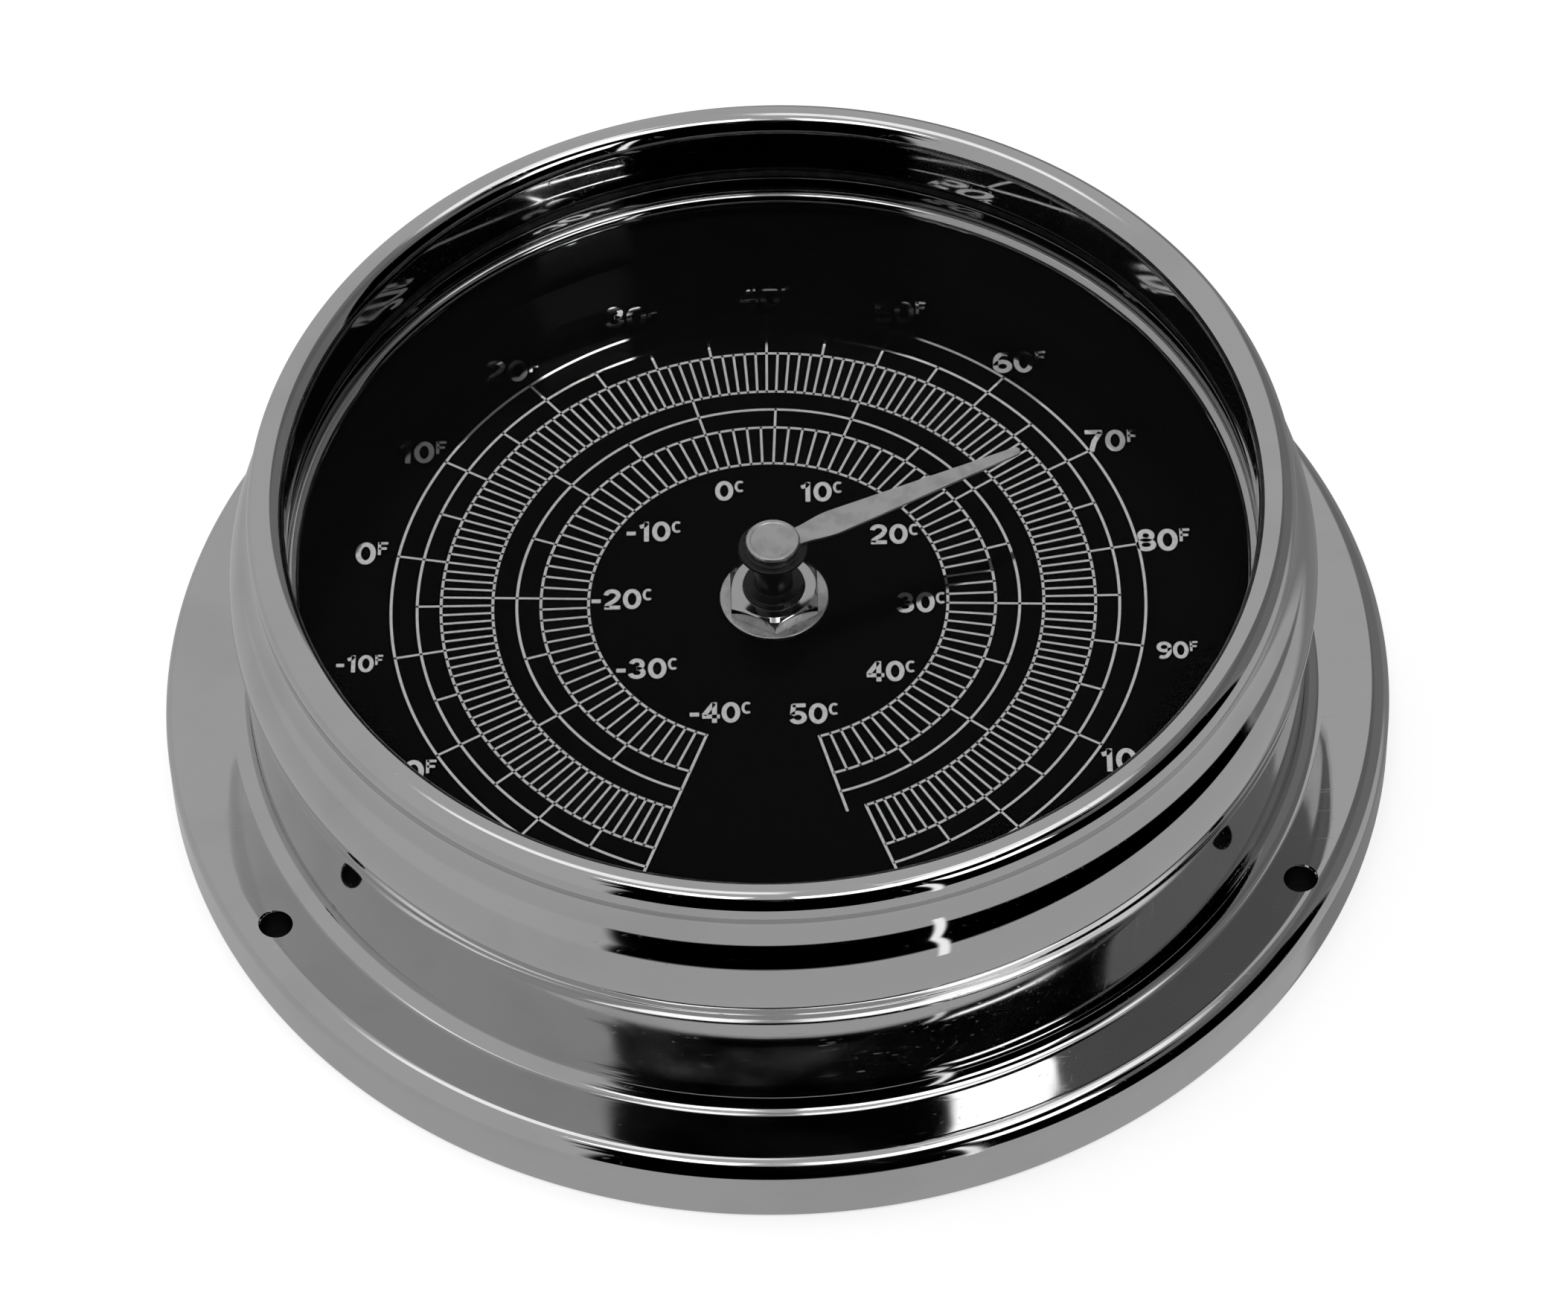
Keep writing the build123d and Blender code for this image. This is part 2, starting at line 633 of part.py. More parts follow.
PARTS = [
    case_body,
    bezel_ring,
    glass,
    glass_gasket,
    glass_retaining_ring,
    sight_ring,
    dial_plate,
    nut_washer,
    hex_nut,
    threaded_bush,
    front_bearing,
    pointer_spindle,
    pointer_hub,
    pointer_blade,
    hub_cap,
    movement_plate,
    bridge_pillars,
    movement_bridge,
    bridge_screws,
    bimetal_coil,
    coil_collet,
    adjuster_shaft,
    rear_bearing,
    friction_washer,
    adjuster_arm,
    anchor_post,
    adjuster_clip,
    rear_cover,
    rear_cover_screws,
]

os.makedirs("parts", exist_ok=True)
for make in PARTS:
    made = make()
    if isinstance(made, list):
        made = Compound(children=made)
    export_step(made, f"parts/{make.__name__}.step")
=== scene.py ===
import math

import bmesh
import bpy
from mathutils import Matrix, Vector


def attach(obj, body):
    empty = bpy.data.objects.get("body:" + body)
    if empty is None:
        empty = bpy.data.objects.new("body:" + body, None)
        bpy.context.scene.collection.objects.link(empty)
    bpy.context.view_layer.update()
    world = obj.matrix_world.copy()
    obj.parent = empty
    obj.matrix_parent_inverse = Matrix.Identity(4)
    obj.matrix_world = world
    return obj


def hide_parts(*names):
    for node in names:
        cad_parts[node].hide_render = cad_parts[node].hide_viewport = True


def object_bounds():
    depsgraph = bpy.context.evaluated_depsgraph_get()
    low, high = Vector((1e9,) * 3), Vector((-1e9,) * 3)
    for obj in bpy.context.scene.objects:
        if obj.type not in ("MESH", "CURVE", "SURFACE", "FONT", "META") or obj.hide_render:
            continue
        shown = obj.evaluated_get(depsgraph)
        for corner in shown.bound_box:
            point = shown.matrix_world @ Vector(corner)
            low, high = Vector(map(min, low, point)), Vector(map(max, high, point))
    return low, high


# Looks for the dial thermometer. The turned parts that show are drawn again at a
# fine resolution from the measures of the CAD design; everything else is the CAD
# part itself with rounded edges and a finish. Lengths are in millimetres up to the
# point where a mesh is made, and angles in degrees.

MM = 0.001
SEGMENTS = 720
CORNER_STEPS = 4
SHARP_ANGLE = 32.0

# ---------------------------------------------------------------- measures, mm
FLANGE_R = 100.0
RIM_CENTRE = (96.4, 7.6)
RIM_R = 3.6
FOOT_CENTRE = (88.9, 13.5)
FOOT_R = 2.9
RELIEF_INNER_R = 86.8
RELIEF_OUTER_R = 96.6
RELIEF_DEPTH = 6.0
SCREW_CIRCLE_R = 94.25
SCREW_HOLE_R = 2.5
SCREW_BOSS_R = 5.5
SCREW_CLOCKING = 91.0
SCREW_COUNT = 3
HOLE_MOUTH = 0.35
HOLE_TOP_Z = 11.04
BORE_MARGIN = 0.05
BORE_SHADE_Z = 10.0

DRUM_R = 86.0
DRUM_SHOULDER_Z = 33.0
DRUM_THREAD_R = 82.2
DRUM_TOP_Z = 41.0
DRUM_BORE_R = 80.2
DRUM_CAVITY_R = 82.0
DIAL_LEDGE_R = 76.0
DIAL_LEDGE_THICKNESS = 3.0
REAR_LEDGE_R = 73.0
REAR_LEDGE_TOP_Z = 6.0
REAR_SEAT_R = 82.0
REAR_SEAT_Z = 2.3

BEAD_CENTRE = (80.3, 55.3)
BEAD_R = 3.0
FLANK_CENTRE = (72.6, 39.0)
FLANK_R = 14.6
SHOULDER_R = 4.6
SHOULDER_START = 27.0
COVE_R = 8.0
BEZEL_FOOT_Z = 33.05
FOOT_HOLLOW_R = 14.6
BEZEL_THREAD_R = 82.3
BEZEL_THREAD_TOP_Z = 41.2
GLASS_SEAT_R = 79.2
GLASS_SEAT_Z = 47.6
RING_SEAT_R = 80.1
RING_SEAT_Z = 43.4
GLASS_R = 79.0
GLASS_THICKNESS = 3.0
GLASS_EDGE = 0.4
GASKET_INNER_R = 78.0
RETAINER_OUTER_R = 80.0
RETAINER_INNER_R = 77.6
RETAINER_FOOT_Z = 40.4

SIGHT_RING_R = 80.0
SIGHT_WALL_R = 76.3
SIGHT_BEAD_R = 1.5
SIGHT_TOP_Z = 40.3
SIGHT_FOOT_THICKNESS = 1.0

DIAL_Z = 28.2
DIAL_THICKNESS = 1.2
BUSH_THREAD_R = 4.95
BUSH_NECK_R = 3.0
BUSH_TOP = 4.1
BUSH_NECK_TOP = 9.5
BUSH_HEAD_R = 8.0
BUSH_HEAD_THICKNESS = 2.0
PLATE_THICKNESS = 1.5
THREAD_PITCH = 0.75
THREAD_DEPTH = 0.4
BEARING_LENGTH = 3.0
BEARING_R = 2.0
SPINDLE_R = 1.0
WASHER_BORE_R = 5.0
WASHER_R = 8.8
WASHER_THICKNESS = 0.6
POINTER_Z = 41.2
POINTER_THICKNESS = 0.45
HUB_DISC_R = 5.55
HUB_TUBE_R = 2.2
HUB_TUBE_LENGTH = 2.6
CAP_R = 4.45
CAP_THICKNESS = 1.4
CAP_EDGE = 0.25
CAP_BORE_DEPTH = 0.9

# ------------------------------------------------------------------- the scale
CELSIUS_RING = (28.99, 36.69, 40.57, 44.46)
FAHRENHEIT_RING = (44.46, 52.80, 56.67, 60.885)
LINE_WIDTH = 0.45
TICK_WIDTH = 0.4
PRINT_LIFT = 0.02
SCALE_START = 250.0
CELSIUS_END = -74.0
FAHRENHEIT_END = -70.0
CELSIUS_ZERO = 106.0
CELSIUS_STEP = 3.6
FAHRENHEIT_AT_TOP = 40
FAHRENHEIT_STEP = 2.0
PRINT_SHIFT = (-1.0, -0.5)
PRINT_TURN = -1.0
CELSIUS_LABEL_R = 24.2
CELSIUS_LABEL_ASIDE = 0.6
CELSIUS_LABEL_HEIGHT = 4.15
FAHRENHEIT_LABEL_R = 65.2
FAHRENHEIT_LABEL_HEIGHT = 4.6
SMALL_LABELS = (-10, 90)
SMALL_SHARE = 0.76
SMALL_OUT = 1.4
WIDE_OUT = 2.0
UNIT_SHARE = 0.58

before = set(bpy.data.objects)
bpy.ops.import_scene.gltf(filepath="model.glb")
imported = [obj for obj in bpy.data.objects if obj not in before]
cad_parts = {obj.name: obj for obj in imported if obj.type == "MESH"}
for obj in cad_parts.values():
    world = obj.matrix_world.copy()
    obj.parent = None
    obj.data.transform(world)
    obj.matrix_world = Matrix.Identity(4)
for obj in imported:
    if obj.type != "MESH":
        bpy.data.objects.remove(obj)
CAD_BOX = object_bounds()


# ------------------------------------------------------------------ geometry
def on_arc(centre, radius, degrees):
    """Point of a circle in a section."""
    angle = math.radians(degrees)
    return (
        centre[0] + radius * math.cos(angle),
        centre[1] + radius * math.sin(angle),
    )


def heading(origin, target):
    """Angle of the line from one point of a section to another."""
    return math.degrees(math.atan2(target[1] - origin[1], target[0] - origin[0]))


def arc(centre, radius, first, last, step=2.5):
    """Points of an arc in a section; their third number asks for no corner round."""
    count = max(2, math.ceil(abs(last - first) / step))
    return [
        (*on_arc(centre, radius, first + (last - first) * i / count), 0)
        for i in range(count + 1)
    ]


def hollow(first, first_r, last, last_r, radius):
    """Centre of the arc that touches two circles from outside, right of first to last."""
    dx = last[0] - first[0]
    dz = last[1] - first[1]
    apart = math.hypot(dx, dz)
    reach = first_r + radius
    along = (apart**2 + reach**2 - (last_r + radius) ** 2) / (2 * apart)
    aside = math.sqrt(reach**2 - along**2)
    return (
        first[0] + (along * dx + aside * dz) / apart,
        first[1] + (along * dz - aside * dx) / apart,
    )


def soften(outline):
    """Closed outline of (radius, height, round): each corner gets its round."""
    points = []
    for i, (r, z, size) in enumerate(outline):
        here = Vector((r, z))
        if size == 0:
            points.append(here)
            continue
        back = Vector(outline[i - 1][:2]) - here
        on = Vector(outline[(i + 1) % len(outline)][:2]) - here
        reach = min(size, 0.45 * back.length, 0.45 * on.length)
        start = here + back.normalized() * reach
        end = here + on.normalized() * reach
        for k in range(CORNER_STEPS + 1):
            t = k / CORNER_STEPS
            points.append((1 - t) ** 2 * start + 2 * t * (1 - t) * here + t**2 * end)
    return points


def divide(points, longest):
    """Put points into the straight runs of an open outline so none is too long."""
    made = []
    for i, point in enumerate(points):
        here = Vector(point)
        on = Vector(points[(i + 1) % len(points)])
        count = max(1, math.ceil((on - here).length / longest))
        for k in range(count):
            made.append(here.lerp(on, k / count))
    return made


def new_piece(name, mesh):
    """Object with a finished mesh, smooth but for its real edges."""
    mesh.shade_smooth()
    mesh.set_sharp_from_angle(angle=math.radians(SHARP_ANGLE))
    piece = bpy.data.objects.new(name, mesh)
    bpy.context.scene.collection.objects.link(piece)
    return piece


def turned_mesh(name, outline, segments=SEGMENTS, longest=6.0):
    """Mesh of a closed outline turned about Z."""
    section = divide(soften(outline), longest)
    build = bmesh.new()
    rings = []
    for i in range(segments):
        angle = 2 * math.pi * i / segments
        x = math.cos(angle) * MM
        y = math.sin(angle) * MM
        rings.append([build.verts.new((p[0] * x, p[0] * y, p[1] * MM)) for p in section])
    count = len(section)
    for i in range(segments):
        here = rings[i]
        on = rings[(i + 1) % segments]
        for k in range(count):
            m = (k + 1) % count
            if section[k][0] > 1e-6 or section[m][0] > 1e-6:
                build.faces.new((here[k], on[k], on[m], here[m]))
    bmesh.ops.remove_doubles(build, verts=build.verts, dist=1e-8)
    bmesh.ops.recalc_face_normals(build, faces=build.faces)
    mesh = bpy.data.meshes.new(name)
    build.to_mesh(mesh)
    build.free()
    return mesh


def turned(name, outline, **options):
    """Piece turned about Z from a closed outline."""
    return new_piece(name, turned_mesh(name, outline, **options))


def band(inner, outer, low, high, size):
    """Outline of a plain ring with all four edges broken."""
    return [(inner, low, size), (outer, low, size), (outer, high, size), (inner, high, size)]


def joined(name, meshes):
    """One mesh out of several."""
    build = bmesh.new()
    for mesh in meshes:
        build.from_mesh(mesh)
        bpy.data.meshes.remove(mesh)
    made = bpy.data.meshes.new(name)
    build.to_mesh(made)
    build.free()
    return made


def settled(piece):
    """Mesh of a piece with its modifiers worked in; the piece itself is removed."""
    graph = bpy.context.evaluated_depsgraph_get()
    mesh = bpy.data.meshes.new_from_object(piece.evaluated_get(graph))
    bpy.data.objects.remove(piece)
    return mesh


def keep_inside(piece):
    """Bring a fine turning down to the CAD's top, which its coarser rings leave lower."""
    for vertex in piece.data.vertices:
        vertex.co.z = min(vertex.co.z, CAD_BOX[1][2])


def foot_hollow():
    """Centre of the hollow that runs from the drum's wall up into the bezel's flank."""
    x = DRUM_R + FOOT_HOLLOW_R
    apart = FLANK_R + FOOT_HOLLOW_R
    return (x, FLANK_CENTRE[1] - math.sqrt(apart**2 - (x - FLANK_CENTRE[0]) ** 2))


def foot_angle(height):
    """Angle on that hollow at a height above the base."""
    return 180 - math.degrees(math.asin((height - foot_hollow()[1]) / FOOT_HOLLOW_R))


# ---------------------------------------------------------------------- case
def flange_section():
    """Flange and drum: rim, sloping face, fillet, wall, and the steps inside."""
    spread = math.dist(RIM_CENTRE, FOOT_CENTRE)
    lean = math.degrees(math.acos((RIM_R + FOOT_R) / spread))
    normal = heading(RIM_CENTRE, FOOT_CENTRE) - lean
    dial_back = DIAL_Z - DIAL_THICKNESS
    return [
        (FLANGE_R, 0, 0.3),
        *arc(RIM_CENTRE, RIM_R, 0, normal),
        *arc(FOOT_CENTRE, FOOT_R, normal - 180, -180),
        *arc(foot_hollow(), FOOT_HOLLOW_R, 180, foot_angle(DRUM_SHOULDER_Z), 1.5),
        (DRUM_THREAD_R, DRUM_SHOULDER_Z, 0.2),
        (DRUM_THREAD_R, DRUM_TOP_Z, 0.3),
        (DRUM_BORE_R, DRUM_TOP_Z, 0.3),
        (DRUM_BORE_R, dial_back, 0.2),
        (DIAL_LEDGE_R, dial_back, 0.2),
        (DIAL_LEDGE_R, dial_back - DIAL_LEDGE_THICKNESS, 0.2),
        (DRUM_CAVITY_R, dial_back - DIAL_LEDGE_THICKNESS, 0.5),
        (DRUM_CAVITY_R, REAR_LEDGE_TOP_Z, 0.5),
        (REAR_LEDGE_R, REAR_LEDGE_TOP_Z, 0.3),
        (REAR_LEDGE_R, REAR_SEAT_Z, 0.3),
        (REAR_SEAT_R, REAR_SEAT_Z, 0.2),
        (REAR_SEAT_R, 0, 0.3),
        (RELIEF_INNER_R, 0, 0.4),
        (RELIEF_INNER_R, RELIEF_DEPTH, 0.8),
        (RELIEF_OUTER_R, RELIEF_DEPTH, 0.8),
        (RELIEF_OUTER_R, 0, 0.4),
    ]


def screw_places():
    """Where the mounting holes are, as moves from the centre."""
    places = []
    for i in range(SCREW_COUNT):
        angle = math.radians(SCREW_CLOCKING + 360 * i / SCREW_COUNT)
        shift = Vector((math.cos(angle), math.sin(angle), 0)) * SCREW_CIRCLE_R * MM
        places.append(Matrix.Translation(shift))
    return places


def hole_cutter():
    """Drill with a flared shoulder for the mouth of a mounting hole."""
    top = HOLE_TOP_Z
    flare = SCREW_HOLE_R + HOLE_MOUTH
    return turned_mesh(
        "cutter",
        [
            (0, -2, 0),
            (SCREW_HOLE_R, -2, 0),
            (SCREW_HOLE_R, top - 2 * HOLE_MOUTH, 0),
            (SCREW_HOLE_R + 0.1 * HOLE_MOUTH, top - HOLE_MOUTH, 0),
            (SCREW_HOLE_R + 0.4 * HOLE_MOUTH, top - 0.4 * HOLE_MOUTH, 0),
            (flare, top + 0.05, 0),
            (flare + 0.6, top + 1.5, 0),
            (0, top + 1.5, 0),
        ],
        segments=72,
    )


def make_case():
    """Flange and drum with the mounting holes cut and their bosses behind; the hole walls below
    BORE_SHADE_Z get slot 1, a near-black painted shade.
    """
    body = new_piece("case_turning", turned_mesh("case", flange_section(), longest=1.2))
    drills = []
    bosses = []
    for place in screw_places():
        drill = hole_cutter()
        drill.transform(place)
        drills.append(drill)
        boss = turned_mesh(
            "boss", band(SCREW_HOLE_R, SCREW_BOSS_R, 0.1, RELIEF_DEPTH + 0.4, 0.3), segments=96
        )
        boss.transform(place)
        bosses.append(boss)
    cutter = new_piece("case_drills", joined("drills", drills))
    cut = body.modifiers.new("holes", "BOOLEAN")
    cut.operation = "DIFFERENCE"
    cut.solver = "EXACT"
    cut.object = cutter
    shell = settled(body)
    bpy.data.objects.remove(cutter)
    case = new_piece("case_shell", joined("case_shell", [shell, *bosses]))
    # Hole walls deeper than BORE_SHADE_Z go to slot 1, which paints the shade inside the holes
    # near-black.
    centres = [place.translation for place in screw_places()]
    for face in case.data.polygons:
        nearest = min((face.center.xy - centre.xy).length for centre in centres)
        deep = face.center.z < BORE_SHADE_Z * MM
        face.material_index = int(deep and nearest < (SCREW_HOLE_R + BORE_MARGIN) * MM)
    return case


# --------------------------------------------------------------------- bezel
def bezel_section():
    """Bezel from its foot up over flank, shoulder, cove and bead, then down inside."""
    shoulder = on_arc(FLANK_CENTRE, FLANK_R - SHOULDER_R, SHOULDER_START)
    cove = hollow(shoulder, SHOULDER_R, BEAD_CENTRE, BEAD_R, COVE_R)
    to_cove = heading(shoulder, cove)
    from_bead = heading(BEAD_CENTRE, cove)
    to_hollow = heading(FLANK_CENTRE, foot_hollow())
    foot = foot_angle(BEZEL_FOOT_Z)
    return [
        *arc(foot_hollow(), FOOT_HOLLOW_R, foot, 180 + to_hollow, 1.5),
        *arc(FLANK_CENTRE, FLANK_R, to_hollow, SHOULDER_START, 1.5),
        *arc(shoulder, SHOULDER_R, SHOULDER_START, to_cove),
        *arc(cove, COVE_R, 180 + to_cove, 180 + from_bead, 1.5),
        *arc(BEAD_CENTRE, BEAD_R, from_bead, 180),
        (BEAD_CENTRE[0] - BEAD_R, GLASS_SEAT_Z, 0.2),
        (GLASS_SEAT_R, GLASS_SEAT_Z, 0.2),
        (GLASS_SEAT_R, RING_SEAT_Z, 0.2),
        (RING_SEAT_R, RING_SEAT_Z, 0.2),
        (RING_SEAT_R, BEZEL_THREAD_TOP_Z, 0.2),
        (BEZEL_THREAD_R, BEZEL_THREAD_TOP_Z, 0.2),
        (BEZEL_THREAD_R, BEZEL_FOOT_Z, 0.3),
    ]


def sight_section():
    """Ring over the dial: foot, straight wall and rolled bead."""
    bead = (SIGHT_WALL_R + SIGHT_BEAD_R - 0.3, SIGHT_TOP_Z - SIGHT_BEAD_R)
    inward = 180 + math.degrees(math.acos((bead[0] - SIGHT_WALL_R) / SIGHT_BEAD_R))
    return [
        (SIGHT_WALL_R, DIAL_Z, 0.15),
        (SIGHT_RING_R, DIAL_Z, 0.15),
        (SIGHT_RING_R, DIAL_Z + SIGHT_FOOT_THICKNESS, 0.15),
        (SIGHT_WALL_R + 1.2, DIAL_Z + SIGHT_FOOT_THICKNESS, 0.2),
        (SIGHT_WALL_R + 1.2, bead[1] - 1.0, 0.2),
        (SIGHT_RING_R, bead[1] - 1.0, 0.2),
        (SIGHT_RING_R, SIGHT_TOP_Z, 0.3),
        *arc(bead, SIGHT_BEAD_R, 90, inward, 6),
    ]


def glass_section():
    """Flat glass with ground edges."""
    back = GLASS_SEAT_Z - GLASS_THICKNESS
    return [
        (0, back, 0),
        (GLASS_R - GLASS_EDGE, back, 0),
        (GLASS_R, back + GLASS_EDGE, 0),
        (GLASS_R, GLASS_SEAT_Z - GLASS_EDGE, 0),
        (GLASS_R - GLASS_EDGE, GLASS_SEAT_Z, 0),
        (0, GLASS_SEAT_Z, 0),
    ]


# ------------------------------------------------------------ centre fixings
def bush_section():
    """Threaded bush with its narrow neck; the thread is cut as grooves."""
    shoulder = DIAL_Z + BUSH_TOP
    neck_top = DIAL_Z + BUSH_NECK_TOP
    plate = DIAL_Z - DIAL_THICKNESS - PLATE_THICKNESS
    bore = SPINDLE_R + 0.4
    grooves = []
    z = DIAL_Z - 0.4
    while z < shoulder - THREAD_PITCH:
        grooves.append((BUSH_THREAD_R, z + 0.1, 0))
        grooves.append((BUSH_THREAD_R - THREAD_DEPTH, z + 0.5 * THREAD_PITCH, 0.1))
        grooves.append((BUSH_THREAD_R, z + THREAD_PITCH - 0.1, 0))
        z += THREAD_PITCH
    return [
        (bore, plate - BUSH_HEAD_THICKNESS, 0.2),
        (BUSH_HEAD_R, plate - BUSH_HEAD_THICKNESS, 0.3),
        (BUSH_HEAD_R, plate, 0.2),
        (BUSH_THREAD_R, plate, 0.1),
        *grooves,
        (BUSH_THREAD_R, shoulder, 0.4),
        (BUSH_NECK_R, shoulder, 0.3),
        (BUSH_NECK_R, neck_top, 0.3),
        (BEARING_R, neck_top, 0.1),
        (BEARING_R, neck_top - BEARING_LENGTH, 0.1),
        (bore, neck_top - BEARING_LENGTH, 0.1),
    ]


def hub_section():
    """Disc and tube that carry the blade."""
    disc = POINTER_Z - 0.6
    return [
        (SPINDLE_R, disc - HUB_TUBE_LENGTH, 0.1),
        (HUB_TUBE_R, disc - HUB_TUBE_LENGTH, 0.2),
        (HUB_TUBE_R, disc, 0.2),
        (HUB_DISC_R, disc, 0.15),
        (HUB_DISC_R, POINTER_Z, 0.15),
        (SPINDLE_R, POINTER_Z, 0),
    ]


def cap_section():
    """Turned cap with a polished chamfer and a faint step round its top."""
    foot = POINTER_Z + POINTER_THICKNESS
    top = foot + CAP_THICKNESS
    return [
        (0, foot + CAP_BORE_DEPTH, 0),
        (SPINDLE_R, foot + CAP_BORE_DEPTH, 0),
        (SPINDLE_R, foot, 0.1),
        (CAP_R, foot, 0.1),
        (CAP_R, top - CAP_EDGE - 0.15, 0.12),
        (CAP_R - CAP_EDGE, top, 0.12),
        (CAP_R - 0.85, top, 0.05),
        (CAP_R - 0.95, top - 0.06, 0.05),
        (0, top - 0.06, 0),
    ]


# ----------------------------------------------------------------- the print
def printed_arc(radius, width, first, last):
    """Faces of a printed arc, as lists of corners."""
    count = math.ceil(abs(last - first) / 1.0)
    faces = []
    for i in range(count):
        a = first + (last - first) * i / count
        b = first + (last - first) * (i + 1) / count
        low = radius - width / 2
        high = radius + width / 2
        corners = [(low, a), (high, a), (high, b), (low, b)]
        faces.append([on_arc((0, 0), r, angle) for r, angle in corners])
    return faces


def printed_line(angle, inner, outer, width):
    """Face of a printed radial line."""
    along = Vector(on_arc((0, 0), 1, angle))
    across = Vector((-along.y, along.x)) * width / 2
    start = along * (inner - width / 2)
    end = along * (outer + width / 2)
    return [start - across, end - across, end + across, start + across]


def celsius_angle(value):
    return CELSIUS_ZERO - CELSIUS_STEP * value


def fahrenheit_angle(value):
    return 90 - FAHRENHEIT_STEP * (value - FAHRENHEIT_AT_TOP)


def scale_faces():
    """Every arc and tick of both scales."""
    faces = []
    for radius in CELSIUS_RING[:3]:
        faces += printed_arc(radius, LINE_WIDTH, SCALE_START, CELSIUS_END)
    for radius in FAHRENHEIT_RING:
        faces += printed_arc(radius, LINE_WIDTH, SCALE_START, FAHRENHEIT_END)
    faces.append(printed_line(SCALE_START, CELSIUS_RING[0], FAHRENHEIT_RING[3], LINE_WIDTH))
    faces.append(printed_line(CELSIUS_END, CELSIUS_RING[0], CELSIUS_RING[3], LINE_WIDTH))
    faces.append(printed_line(FAHRENHEIT_END, FAHRENHEIT_RING[0], FAHRENHEIT_RING[3], LINE_WIDTH))
    for value in range(-39, 50):
        reach = CELSIUS_RING[3 if value % 10 == 0 else 2 if value % 5 == 0 else 1]
        faces.append(printed_line(celsius_angle(value), CELSIUS_RING[0], reach, TICK_WIDTH))
    for value in range(-39, 120):
        reach = FAHRENHEIT_RING[3 if value % 10 == 0 else 2 if value % 5 == 0 else 1]
        faces.append(printed_line(fahrenheit_angle(value), FAHRENHEIT_RING[0], reach, TICK_WIDTH))
    return faces


# Figures are drawn as strokes on a box one high. An arc is (centre, half width,
# half height, first, last), and a run of straight strokes is a list of points.
WEIGHT = 0.19
FIGURES = {
    "0": [((0.36, 0.5), 0.265, 0.41, 0, 360)],
    "1": [[(0.32, 0.0), (0.32, 1.0)], [(0.06, 0.74), (0.24, 0.8), (0.34, 0.95)]],
    "2": [
        ((0.34, 0.69), 0.24, 0.22, 175, -20),
        [(0.565, 0.615), (0.47, 0.46), (0.16, 0.22), (0.13, 0.09)],
        [(0.04, 0.09), (0.66, 0.09)],
    ],
    "3": [
        ((0.33, 0.71), 0.21, 0.2, 170, -90),
        ((0.33, 0.3), 0.25, 0.21, 90, -170),
    ],
    "4": [[(0.49, 0.0), (0.49, 1.0)], [(0.47, 0.96), (0.08, 0.37)], [(0.02, 0.31), (0.7, 0.31)]],
    "5": [
        [(0.64, 0.91), (0.14, 0.91)],
        [(0.18, 0.95), (0.13, 0.46)],
        ((0.34, 0.32), 0.25, 0.23, 150, -160),
    ],
    "6": [((0.36, 0.31), 0.25, 0.22, 0, 360), ((0.42, 0.5), 0.31, 0.41, 60, 200)],
    "7": [[(0.04, 0.91), (0.66, 0.91)], [(0.6, 0.9), (0.36, 0.45), (0.26, 0.0)]],
    "8": [((0.36, 0.71), 0.21, 0.2, 0, 360), ((0.36, 0.29), 0.26, 0.2, 0, 360)],
    "9": [((0.36, 0.69), 0.25, 0.22, 0, 360), ((0.3, 0.5), 0.31, 0.41, -120, 20)],
    "C": [((0.38, 0.5), 0.27, 0.41, 50, 310)],
    "F": [[(0.14, 0.0), (0.14, 1.0)], [(0.1, 0.91), (0.66, 0.91)], [(0.1, 0.5), (0.58, 0.5)]],
    "-": [[(0.04, 0.42), (0.4, 0.42)]],
}
WIDTHS = {"1": 0.54, "-": 0.5}


def stroke_line(stroke):
    """Centre line of one stroke."""
    if isinstance(stroke, list):
        return [Vector(point) for point in stroke]
    centre, half_width, half_height, first, last = stroke
    count = math.ceil(abs(last - first) / 12)
    line = []
    for i in range(count + 1):
        angle = math.radians(first + (last - first) * i / count)
        line.append(
            Vector(
                (centre[0] + half_width * math.cos(angle), centre[1] + half_height * math.sin(angle))
            )
        )
    return line


def stroke_faces(line, weight):
    """Faces along a centre line, mitred where it turns."""
    closed = (line[0] - line[-1]).length < 1e-6
    sides = []
    for i, point in enumerate(line):
        back = line[i - 1] if i else (line[-2] if closed else None)
        on = line[i + 1] if i + 1 < len(line) else (line[1] if closed else None)
        before = (point - back).normalized() if back is not None else (on - point).normalized()
        after = (on - point).normalized() if on is not None else before
        along = (before + after).normalized()
        across = Vector((-along.y, along.x)) * weight / 2 / max(0.5, along.dot(after))
        sides.append((point - across, point + across))
    return [[a[0], b[0], b[1], a[1]] for a, b in zip(sides, sides[1:])]


def letters(text, height, left, foot):
    """Faces of a line of figures of a given height, and the width they take."""
    faces = []
    pen = 0.0
    for sign in text:
        for stroke in FIGURES[sign]:
            for face in stroke_faces(stroke_line(stroke), WEIGHT):
                corners = [(left + (p.x + pen) * height, foot + p.y * height) for p in face]
                faces.append([Vector(corner) for corner in corners])
        pen += WIDTHS.get(sign, 0.76)
    return faces, pen * height


def label_faces(number, unit, height, radius, angle, aside=0.0):
    """One reading, upright and centred: its number and a small raised unit letter."""
    total = letters(number, height, 0, 0)[1] + letters(unit, height * UNIT_SHARE, 0, 0)[1]
    x, y = on_arc((0, 0), radius, angle)
    left = x - total / 2 + aside
    foot = y - height / 2
    figures, width = letters(number, height, left, foot)
    small = height * UNIT_SHARE
    return figures + letters(unit, small, left + width, foot + height - small)[0]


